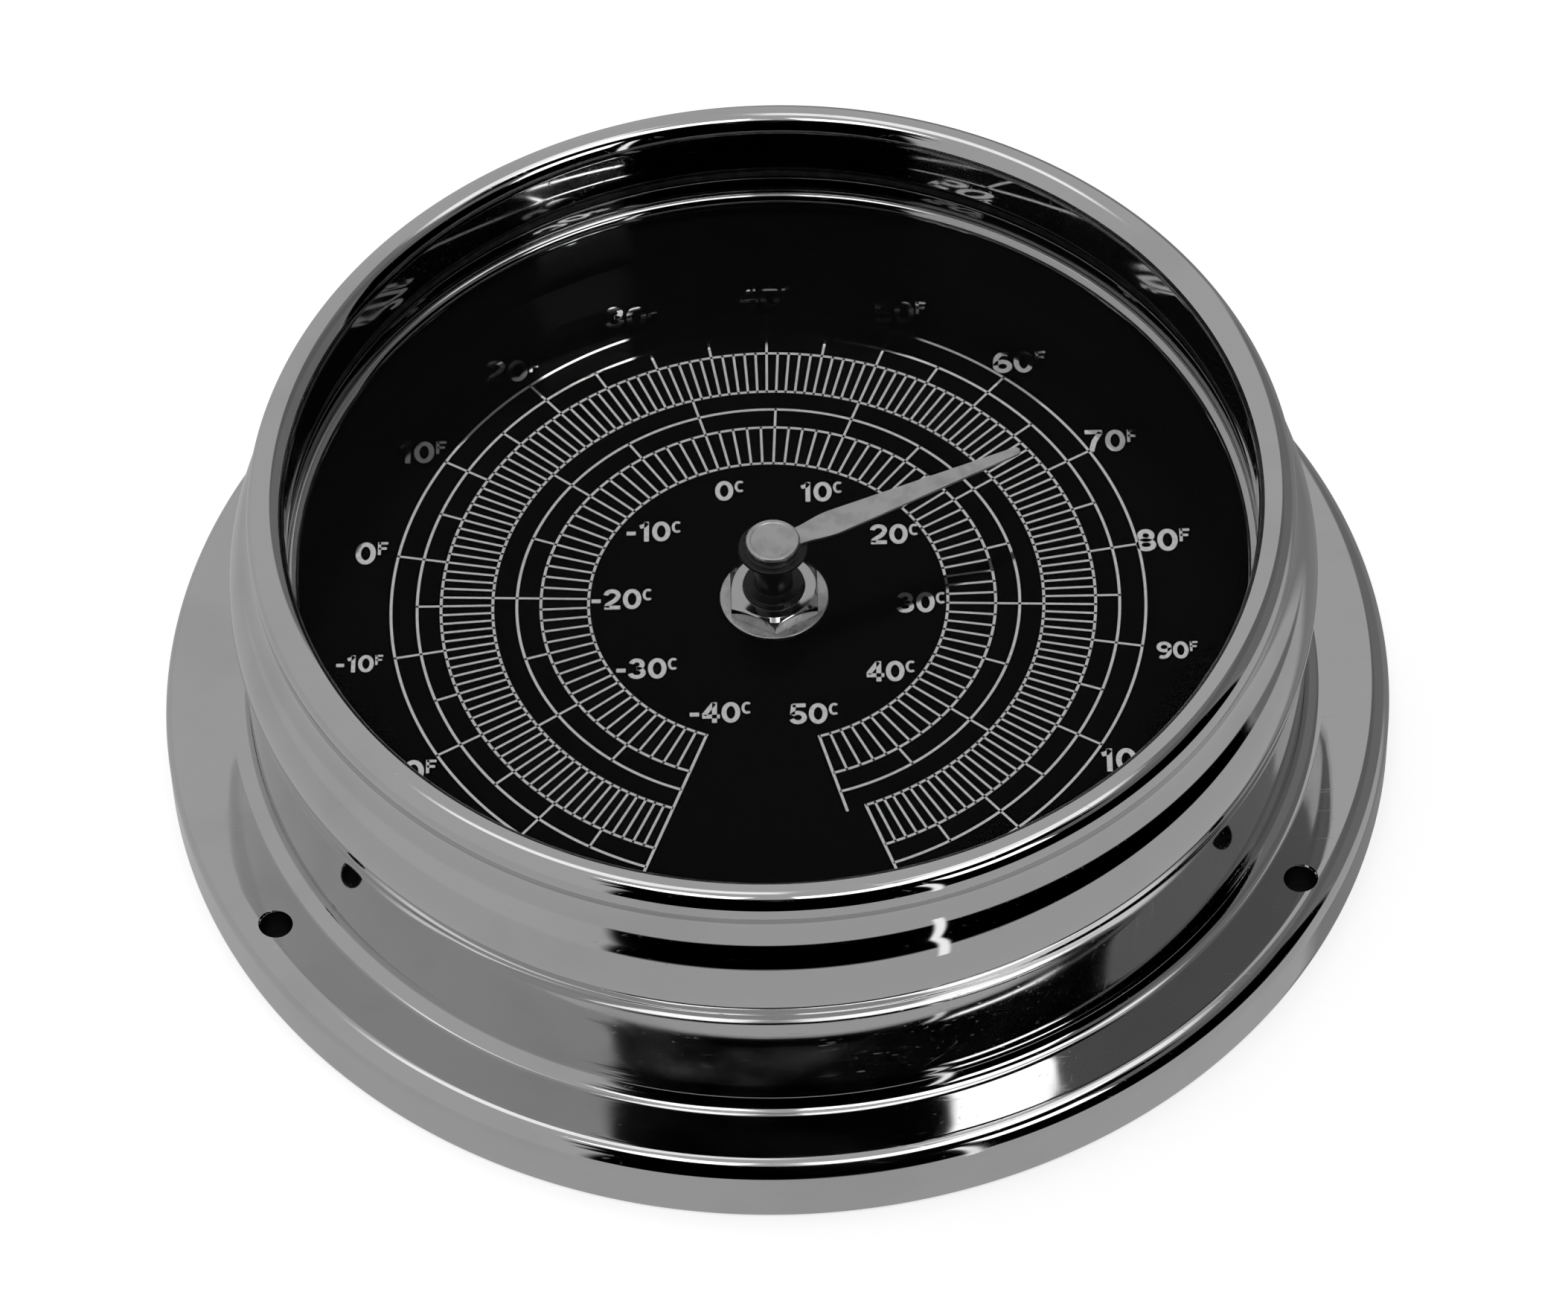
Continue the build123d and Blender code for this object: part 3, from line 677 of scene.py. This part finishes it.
def label_set():
    """Every figure of both scales."""
    faces = []
    for value in range(-40, 51, 10):
        place = (CELSIUS_LABEL_HEIGHT, CELSIUS_LABEL_R, celsius_angle(value), CELSIUS_LABEL_ASIDE)
        faces += label_faces(str(value), "C", *place)
    for value in range(-40, 121, 10):
        small = value in SMALL_LABELS
        height = FAHRENHEIT_LABEL_HEIGHT * (SMALL_SHARE if small else 1)
        wide = len(str(value)) == 3 and not small
        radius = FAHRENHEIT_LABEL_R + (SMALL_OUT if small else WIDE_OUT if wide else 0)
        faces += label_faces(str(value), "F", height, radius, fahrenheit_angle(value))
    return faces


def make_print():
    """The printed scale: a thin layer on the dial, a little turned and off centre."""
    build = bmesh.new()
    for face in scale_faces() + label_set():
        build.faces.new([build.verts.new((p[0] * MM, p[1] * MM, 0)) for p in face])
    mesh = bpy.data.meshes.new("dial_print")
    build.to_mesh(mesh)
    build.free()
    shift = Vector((*PRINT_SHIFT, DIAL_Z + PRINT_LIFT)) * MM
    mesh.transform(Matrix.Translation(shift) @ Matrix.Rotation(math.radians(PRINT_TURN), 4, "Z"))
    for face in mesh.polygons:
        if face.normal.z < 0:
            face.flip()
    piece = bpy.data.objects.new("dial_print", mesh)
    bpy.context.scene.collection.objects.link(piece)
    return piece


# ----------------------------------------------------------------- materials
def add(tree, kind, inputs=None, **settings):
    """New shader node with its settings, and its inputs set or linked."""
    made = tree.nodes.new(kind)
    for name, value in settings.items():
        setattr(made, name, value)
    for name, value in (inputs or {}).items():
        if isinstance(value, bpy.types.NodeSocket):
            tree.links.new(value, made.inputs[name])
        else:
            made.inputs[name].default_value = value
    return made


def calc(tree, operation, a, b=0.0, **settings):
    """Result of a sum on two sockets or numbers."""
    return add(tree, "ShaderNodeMath", {0: a, 1: b}, operation=operation, **settings).outputs[0]


def ramp(tree, value, low, high, to_low=0.0, to_high=1.0):
    """Value carried smoothly from one range to another."""
    made = add(
        tree,
        "ShaderNodeMapRange",
        {"Value": value, "From Min": low, "From Max": high, "To Min": to_low, "To Max": to_high},
        interpolation_type="SMOOTHSTEP",
    )
    return made.outputs["Result"]


def noise(tree, vector, scale, detail=3.0, rough=0.5):
    """Noise value at a point."""
    inputs = {"Vector": vector, "Scale": scale, "Detail": detail, "Roughness": rough}
    return add(tree, "ShaderNodeTexNoise", inputs).outputs["Fac"]


def stretched(tree, vector, x, y, z, turn=0.0):
    """Point with its axes stretched, and turned about Z."""
    inputs = {"Vector": vector, "Scale": (x, y, z), "Rotation": (0, 0, math.radians(turn))}
    return add(tree, "ShaderNodeMapping", inputs).outputs["Vector"]


def object_point(tree):
    """Point on the part in millimetres."""
    coords = add(tree, "ShaderNodeTexCoord")
    inputs = {0: coords.outputs["Object"], "Scale": 1 / MM}
    return add(tree, "ShaderNodeVectorMath", inputs, operation="SCALE").outputs[0]


def lathe_point(tree, point, around):
    """Point as radius, height and a little of the way round, for marks left by turning."""
    apart = add(tree, "ShaderNodeSeparateXYZ", {0: point})
    x, y, z = apart.outputs
    flat = add(tree, "ShaderNodeCombineXYZ", {0: x, 1: y})
    radius = add(tree, "ShaderNodeVectorMath", {0: flat.outputs[0]}, operation="LENGTH")
    turn = calc(tree, "MULTIPLY", calc(tree, "ARCTAN2", y, x), around)
    inputs = {0: radius.outputs["Value"], 1: z, 2: turn}
    return add(tree, "ShaderNodeCombineXYZ", inputs).outputs[0]


def bump(tree, height, strength, depth, normal=None):
    """Surface relief of a given depth in millimetres."""
    inputs = {"Height": height, "Strength": strength, "Distance": depth * MM}
    if normal is not None:
        inputs["Normal"] = normal
    return add(tree, "ShaderNodeBump", inputs).outputs["Normal"]


def scratches(tree, point):
    """Fine straight scratches in three directions, 1 on a scratch and 0 off it."""
    total = 0.0
    for turn, share in ((17.0, 0.9), (71.0, 1.1), (128.0, 1.0)):
        lined = stretched(tree, point, 0.05 * share, 2.2 * share, 1.3, turn)
        value = noise(tree, lined, 1.0, 4.0)
        total = calc(tree, "ADD", ramp(tree, value, 0.66, 0.72), total, use_clamp=True)
    return total


def grey(value, warm=0.0):
    """Neutral colour, or one with a little warmth."""
    return (value * (1 + warm), value, value * (1 - 1.4 * warm), 1)


def mixed(tree, factor, first, second):
    """Colour between two."""
    made = add(tree, "ShaderNodeMix", data_type="RGBA")
    tree.links.new(factor, made.inputs["Factor"])
    made.inputs[6].default_value = first
    made.inputs[7].default_value = second
    return made.outputs[2]


def new_material(name):
    """Empty material, its tree and its principled shader."""
    material = bpy.data.materials.new(name)
    material.use_nodes = True
    tree = material.node_tree
    tree.nodes.clear()
    shader = add(tree, "ShaderNodeBsdfPrincipled")
    add(tree, "ShaderNodeOutputMaterial", {"Surface": shader.outputs[0]})
    return material, tree, shader


def connect(tree, shader, values):
    """Set or link inputs of a shader."""
    for name, value in values.items():
        if isinstance(value, bpy.types.NodeSocket):
            tree.links.new(value, shader.inputs[name])
        else:
            shader.inputs[name].default_value = value


def polished_metal(name, tint, rough=0.035, marks=0.0, ripple=0.010, smear=0.05):
    """Plated or polished metal: smears, hairline scratches, lathe marks, slight ripple."""
    material, tree, shader = new_material(name)
    point = object_point(tree)
    smears = ramp(tree, noise(tree, stretched(tree, point, 1, 1.6, 1, 25), 0.045, 5.0), 0.45, 0.7)
    worn = scratches(tree, point)
    specks = ramp(tree, noise(tree, point, 1.4, 2.0), 0.72, 0.78)
    roughness = calc(tree, "MULTIPLY_ADD", smears, smear)
    roughness.node.inputs[2].default_value = rough
    roughness = calc(tree, "MAXIMUM", roughness, calc(tree, "MULTIPLY", worn, 0.13 + rough))
    soiled = calc(tree, "MULTIPLY", calc(tree, "ADD", smears, specks), 0.5)
    colour = mixed(tree, soiled, grey(tint), grey(tint * 0.9))
    normal = bump(tree, noise(tree, point, 0.11, 2.0), 1.0, ripple)
    normal = bump(tree, worn, 0.2, 0.0006, normal)
    if marks:
        rings = noise(tree, lathe_point(tree, point, 0.4), 9.0, 3.0, 0.7)
        normal = bump(tree, rings, marks, 0.004, normal)
    connect(tree, shader, {"Base Color": colour, "Roughness": roughness, "Normal": normal})
    connect(tree, shader, {"Metallic": 1.0})
    return material


def satin_metal(name, tint, rough, grain=0.5, warm=0.0, turned_marks=True):
    """Unpolished metal: grain from turning or rolling, tarnish and small nicks."""
    material, tree, shader = new_material(name)
    point = object_point(tree)
    if turned_marks:
        lined = lathe_point(tree, point, 0.8)
    else:
        lined = stretched(tree, point, 0.25, 3.0, 3.0, 31)
    lines = noise(tree, lined, 6.0, 5.0, 0.7)
    stain = ramp(tree, noise(tree, point, 0.35, 5.0), 0.42, 0.68)
    nicks = ramp(tree, noise(tree, point, 2.6, 2.0), 0.7, 0.76)
    colour = mixed(tree, stain, grey(tint, warm), grey(tint * 0.82, warm * 1.3))
    roughness = calc(tree, "MULTIPLY_ADD", calc(tree, "ADD", stain, lines), 0.09)
    roughness.node.inputs[2].default_value = rough
    normal = bump(tree, lines, grain, 0.004)
    normal = bump(tree, nicks, 0.4, 0.008, normal)
    connect(tree, shader, {"Base Color": colour, "Roughness": roughness, "Normal": normal})
    connect(tree, shader, {"Metallic": 1.0})
    return material


def lacquer(name, tint, rough, peel=0.3, dust=0.5, specular=0.5):
    """Dark coating: orange peel, a few dust specks and a broken-up gloss."""
    material, tree, shader = new_material(name)
    point = object_point(tree)
    specks = ramp(tree, noise(tree, point, 1.9, 1.0), 0.78, 0.8)
    clouds = ramp(tree, noise(tree, point, 0.06, 4.0), 0.4, 0.7)
    colour = mixed(tree, calc(tree, "MULTIPLY", specks, dust), grey(tint), grey(0.12))
    roughness = calc(tree, "MULTIPLY_ADD", clouds, 0.08)
    roughness.node.inputs[2].default_value = rough
    normal = bump(tree, noise(tree, point, 0.9, 2.0), peel, 0.004)
    connect(tree, shader, {"Base Color": colour, "Roughness": roughness, "Normal": normal})
    connect(tree, shader, {"Specular IOR Level": specular})
    return material


def rubber(name):
    """Matt black rubber with a fine moulded grain."""
    material, tree, shader = new_material(name)
    point = object_point(tree)
    grain = noise(tree, point, 5.0, 4.0)
    colour = mixed(tree, ramp(tree, noise(tree, point, 0.5), 0.4, 0.7), grey(0.012), grey(0.03))
    normal = bump(tree, grain, 0.6, 0.02)
    connect(tree, shader, {"Base Color": colour, "Roughness": 0.75, "Normal": normal})
    return material


def silver_print(name):
    """Screen-printed silver: a thin metallic ink with a slightly uneven lay."""
    material, tree, shader = new_material(name)
    point = object_point(tree)
    uneven = ramp(tree, noise(tree, point, 1.6, 4.0), 0.35, 0.7)
    flakes = noise(tree, point, 14.0, 2.0)
    colour = mixed(tree, uneven, grey(0.92), grey(0.8))
    roughness = calc(tree, "MULTIPLY_ADD", uneven, 0.03)
    roughness.node.inputs[2].default_value = 0.03
    normal = bump(tree, flakes, 0.1, 0.0003)
    connect(tree, shader, {"Base Color": colour, "Roughness": roughness, "Normal": normal})
    connect(tree, shader, {"Metallic": 1.0})
    return material


GLASS_IOR = 1.52
GLASS_SHEEN = 0.05


def clear_glass(name):
    """Flat coated glass that bends the view and lets lamp light through."""
    material, tree, _ = new_material(name)
    point = object_point(tree)
    haze = ramp(tree, noise(tree, stretched(tree, point, 1, 1.7, 1, 40), 0.05, 5.0), 0.55, 0.8)
    colour = mixed(tree, haze, grey(0.985), grey(0.96))
    bent = add(tree, "ShaderNodeBsdfRefraction", {"Color": colour, "Roughness": 0.0, "IOR": GLASS_IOR})
    sheen = add(tree, "ShaderNodeBsdfAnisotropic", {"Color": grey(1.0), "Roughness": 0.0})
    fresnel = add(tree, "ShaderNodeFresnel", {"IOR": GLASS_IOR}).outputs[0]
    share = calc(tree, "MULTIPLY", fresnel, GLASS_SHEEN)
    pane = add(tree, "ShaderNodeMixShader", {0: share, 1: bent.outputs[0], 2: sheen.outputs[0]})
    clear = add(tree, "ShaderNodeBsdfTransparent", {0: grey(0.94)})
    path = add(tree, "ShaderNodeLightPath")
    inputs = {0: path.outputs["Is Shadow Ray"], 1: pane.outputs[0], 2: clear.outputs[0]}
    shown = add(tree, "ShaderNodeMixShader", inputs)
    output = next(n for n in tree.nodes if n.type == "OUTPUT_MATERIAL")
    tree.links.new(shown.outputs[0], output.inputs["Surface"])
    return material


def pale_floor(name):
    """Plain studio paper."""
    material, tree, shader = new_material(name)
    point = object_point(tree)
    colour = mixed(tree, noise(tree, point, 0.02, 3.0), grey(0.93), grey(0.96))
    normal = bump(tree, noise(tree, point, 1.5, 3.0), 0.1, 0.02)
    connect(tree, shader, {"Base Color": colour, "Roughness": 0.9, "Normal": normal})
    connect(tree, shader, {"Specular IOR Level": 0.1})
    connect(tree, shader, {"Emission Color": grey(1.0), "Emission Strength": FLOOR_GLOW})
    return material


# -------------------------------------------------------------------- studio
# The room as the chrome shows it. Azimuth is counted in the part's frame from +X
# towards +Y, so the camera stands at -90; elevation is from the horizon up.
# Each zone is (azimuths, elevations, edge, brightness), laid over the ones before.
ROOM_GREY = 0.5
FLOOR_GLOW = 0.62
FLOOR_HALF_WIDTH = 3.0
FLOOR_DROP = 0.0005
ZONES = [
    ((-180, 180), (-95, -4), 8, 0.46),
    ((30, 90), (-95, 0), 10, 0.24),
    ((5, 60), (-3, 40), 5, 0.19),
    ((-34, 60), (38, 56), 5, 0.15),
    ((-4, 60), (54, 67), 5, 0.2),
    ((-121, 5), (-3, 40), 3, 0.0),
    ((-121, -34), (38, 58), 3, 0.0),
    ((-135, -4), (54, 67), 3, 0.0),
    ((-127, -119), (40, 60), 3, 0.0),
    ((-57, -34), (38, 51), 2, 2.8),
    ((-150, -104), (68, 80), 2, 2.6),
    ((-86, 10), (68, 80), 2, 2.6),
    ((-63.5, -61.6), (-15, 40), 1, 1.3),
    ((10, 60), (64, 80), 5, 1.3),
    ((90, 150), (64, 80), 5, 1.3),
]


def within(tree, value, low, high, edge):
    """1 inside a range and 0 outside it, with soft edges."""
    rise = ramp(tree, value, low - edge / 2, low + edge / 2)
    fall = ramp(tree, value, high - edge / 2, high + edge / 2, 1.0, 0.0)
    return calc(tree, "MULTIPLY", rise, fall)


def light_studio():
    """World light: a grey room with white softboxes and black drapes."""
    world = bpy.data.worlds.new("studio")
    bpy.context.scene.world = world
    world.use_nodes = True
    tree = world.node_tree
    tree.nodes.clear()
    coords = add(tree, "ShaderNodeTexCoord")
    apart = add(tree, "ShaderNodeSeparateXYZ", {0: coords.outputs["Generated"]})
    x, y, z = apart.outputs
    azimuth = calc(tree, "MULTIPLY", calc(tree, "ARCTAN2", y, x), math.degrees(1))
    elevation = calc(tree, "MULTIPLY", calc(tree, "ARCSINE", z), math.degrees(1))
    light = ROOM_GREY
    for azimuths, elevations, edge, brightness in ZONES:
        inside = within(tree, elevation, *elevations, edge)
        if azimuths != (-180, 180):
            inside = calc(tree, "MULTIPLY", inside, within(tree, azimuth, *azimuths, edge))
        blend = add(tree, "ShaderNodeMix", {0: inside, 2: light, 3: brightness}, data_type="FLOAT")
        light = blend.outputs[0]
    shader = add(tree, "ShaderNodeBackground", {"Color": grey(1.0), "Strength": light})
    add(tree, "ShaderNodeOutputWorld", {"Surface": shader.outputs[0]})


def make_floor():
    """Floor the instrument lies on, hidden from reflections."""
    half = FLOOR_HALF_WIDTH
    mesh = bpy.data.meshes.new("floor")
    corners = [(-half, -half, 0), (half, -half, 0), (half, half, 0), (-half, half, 0)]
    mesh.from_pydata(corners, [], [(0, 1, 2, 3)])
    floor = bpy.data.objects.new("floor", mesh)
    bpy.context.scene.collection.objects.link(floor)
    floor.location.z = -FLOOR_DROP
    floor.visible_glossy = False
    floor.data.materials.append(pale_floor("studio_paper"))


CAMERA_LENS = 167.2
CAMERA_SENSOR = 36
CAMERA_PLACE = (0.00133, -0.7407, 0.9420)
CAMERA_RIGHT = (0.99953, -0.02384, -0.01909)
CAMERA_FORWARD = (0.0, 0.62511, -0.78054)


def make_camera():
    """Camera at the height and distance the instrument is seen from."""
    lens = bpy.data.cameras.new("camera")
    lens.lens = CAMERA_LENS
    lens.sensor_width = CAMERA_SENSOR
    camera = bpy.data.objects.new("camera", lens)
    bpy.context.scene.collection.objects.link(camera)
    right = Vector(CAMERA_RIGHT)
    forward = Vector(CAMERA_FORWARD)
    up = right.cross(forward).normalized()
    right = forward.cross(up).normalized()
    turn = Matrix((right, up, -forward)).transposed()
    camera.matrix_world = Matrix.Translation(CAMERA_PLACE) @ turn.to_4x4()
    bpy.context.scene.camera = camera


# ------------------------------------------------------------------- finishes
def dress(piece, material, slot, body, *nodes):
    """Give a new piece its finish and its body, and let it stand for CAD nodes."""
    piece.data.materials.clear()
    piece.data.materials.append(material)
    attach(piece, body)
    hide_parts(*nodes)


def finish_node(name, material, edge):
    """Round a CAD part's edges a little and give it its finish."""
    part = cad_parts[name]
    part.data.materials.clear()
    part.data.materials.append(material)
    for face in part.data.polygons:
        face.material_index = 0
    weld = part.modifiers.new("weld", "WELD")
    weld.merge_threshold = 1e-6
    soft = part.modifiers.new("edges", "BEVEL")
    soft.width = edge * MM
    soft.segments = 2
    soft.limit_method = "ANGLE"
    soft.angle_limit = math.radians(SHARP_ANGLE)
    soft.harden_normals = True


FINISHES = {
    "case_chrome": polished_metal("case_chrome", 0.62, 0.045, 0.0, 0.012, 0.06),
    "bezel_chrome": polished_metal("bezel_chrome", 0.63, 0.03, 0.0, 0.006, 0.04),
    "retainer_chrome": polished_metal("retainer_chrome", 0.2, 0.04, 0.15, 0.006, 0.03),
    "sight_chrome": polished_metal("sight_chrome", 0.55, 0.035, 0.2, 0.006, 0.03),
    "glass": clear_glass("glass"),
    "gasket_rubber": rubber("gasket_rubber"),
    "dial_black": lacquer("dial_black", 0.0006, 0.06, 0.05, 0.02, 0.02),
    "washer_nickel": satin_metal("washer_nickel", 0.55, 0.22),
    "nut_nickel": polished_metal("nut_nickel", 0.6, 0.09, 0.35),
    "bush_black": lacquer("bush_black", 0.004, 0.25, 0.4, 0.1, 0.35),
    "brass": satin_metal("brass", 0.55, 0.25, 0.5, 0.28),
    "spindle_steel": satin_metal("spindle_steel", 0.5, 0.18),
    "pointer_silver": satin_metal("pointer_silver", 0.55, 0.34, 0.25, 0.0, False),
    "cap_polished": satin_metal("cap_polished", 0.58, 0.2, 0.6),
    "screw_steel": satin_metal("screw_steel", 0.45, 0.28),
    "bimetal": satin_metal("bimetal", 0.4, 0.3, 0.5, 0.05, False),
    "spring_steel": satin_metal("spring_steel", 0.33, 0.28, 0.5, 0.0, False),
    "cover_painted": lacquer("cover_painted", 0.02, 0.35, 0.5, 0.4),
}

TURNINGS = [
    ("bezel_turning", bezel_section(), "bezel_chrome", "case", "bezel_ring"),
    ("sight_turning", sight_section(), "sight_chrome", "case", "sight_ring"),
    (
        "retainer_turning",
        band(RETAINER_INNER_R, RETAINER_OUTER_R, RETAINER_FOOT_Z, RING_SEAT_Z, 0.2),
        "retainer_chrome",
        "case",
        "glass_retaining_ring",
    ),
    (
        "gasket_turning",
        band(GASKET_INNER_R, GLASS_R, RING_SEAT_Z, GLASS_SEAT_Z - GLASS_THICKNESS, 0.25),
        "gasket_rubber",
        "case",
        "glass_gasket",
    ),
    ("glass_pane", glass_section(), "glass", "case", "glass"),
    (
        "washer_turning",
        band(WASHER_BORE_R, WASHER_R, DIAL_Z, DIAL_Z + WASHER_THICKNESS, 0.2),
        "washer_nickel",
        "case",
        "nut_washer",
    ),
    ("bush_turning", bush_section(), "bush_black", "case", "threaded_bush"),
    ("hub_turning", hub_section(), "bush_black", "pointer", "pointer_hub"),
    ("cap_turning", cap_section(), "cap_polished", "pointer", "hub_cap"),
]

CAD_PARTS = {
    "dial_plate": ("dial_black", 0.1),
    "hex_nut": ("nut_nickel", 0.12),
    "front_bearing": ("brass", 0.1),
    "pointer_spindle": ("spindle_steel", 0.1),
    "pointer_blade": ("pointer_silver", 0.08),
    "movement_plate": ("brass", 0.2),
    "bridge_pillars": ("brass", 0.15),
    "movement_bridge": ("brass", 0.2),
    "bridge_screws": ("screw_steel", 0.1),
    "bimetal_coil": ("bimetal", 0.05),
    "coil_collet": ("brass", 0.15),
    "adjuster_shaft": ("brass", 0.15),
    "rear_bearing": ("brass", 0.1),
    "friction_washer": ("spring_steel", 0.08),
    "adjuster_arm": ("spring_steel", 0.12),
    "anchor_post": ("brass", 0.15),
    "adjuster_clip": ("spring_steel", 0.08),
    "rear_cover": ("cover_painted", 0.2),
    "rear_cover_screws": ("screw_steel", 0.12),
}

case_shell = make_case()
# Slot 1 of the case is a near-black lacquer on the deep hole walls: painted shade inside the mounting
# holes.
bore_shade_indices = [face.material_index for face in case_shell.data.polygons]
dress(case_shell, FINISHES["case_chrome"], "case_chrome", "case", "case_body")
case_shell.data.materials.append(lacquer("bore_painted_shade", 0.004, 0.5, 0.5, 0.1, 0.1))
case_shell.data.polygons.foreach_set("material_index", bore_shade_indices)
for piece_name, outline, slot, body, node in TURNINGS:
    piece = turned(piece_name, outline)
    keep_inside(piece)
    dress(piece, FINISHES[slot], slot, body, node)

scale_print = make_print()
scale_print.data.materials.clear()
scale_print.data.materials.append(silver_print("scale_silver"))
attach(scale_print, "case")

for node, (slot, edge) in CAD_PARTS.items():
    finish_node(node, FINISHES[slot], edge)

light_studio()
make_floor()
make_camera()
bpy.context.scene.view_settings.view_transform = "Standard"

bpy.context.view_layer.update()
